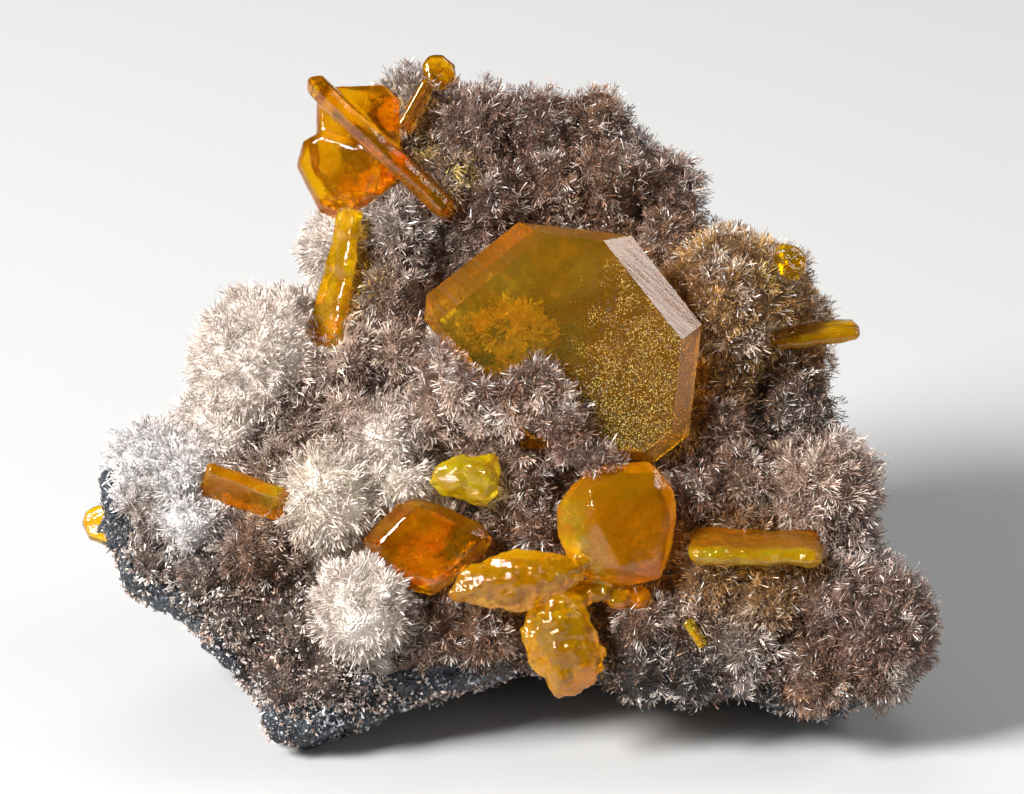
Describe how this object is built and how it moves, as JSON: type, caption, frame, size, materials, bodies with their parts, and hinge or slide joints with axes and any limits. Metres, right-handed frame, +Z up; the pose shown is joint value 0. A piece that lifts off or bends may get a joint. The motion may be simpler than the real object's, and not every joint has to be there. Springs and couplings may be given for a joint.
{
  "type": "mineral specimen",
  "caption": "Mineral specimen: orange tabular crystals on a crust of radiating needle sprays over a broken piece of dark rock. It stands on the rock's flat base.",
  "frame": {"origin": "on the flat base that the rock stands on, near the middle of the specimen", "axes": "+Z up, -Y the side with the display face, +X to the right when looking at that face"},
  "size_m": [0.069, 0.037, 0.0495],
  "materials": {
    "rock": "rough, broken, faintly sparkling",
    "needles": "fine glossy needles",
    "crystal": "clear orange, glossy faces"
  },
  "bodies": {
    "root": {"blade_left": "crystal", "blade_left_upper": "crystal", "blade_right": "crystal", "blade_right_edge": "crystal", "blade_upper_small": "crystal", "cluster_upper_left": "crystal", "crystal_left_edge": "crystal", "crystal_right_upper": "crystal", "crystal_top": "crystal", "crystal_yellow": "crystal", "host_rock": "rock", "rosette_lower": "crystal", "splinter_lower_right": "crystal", "spray_crust": "needles", "tablet_amber": "crystal", "tablet_large": "crystal"}
  },
  "joints": []
}
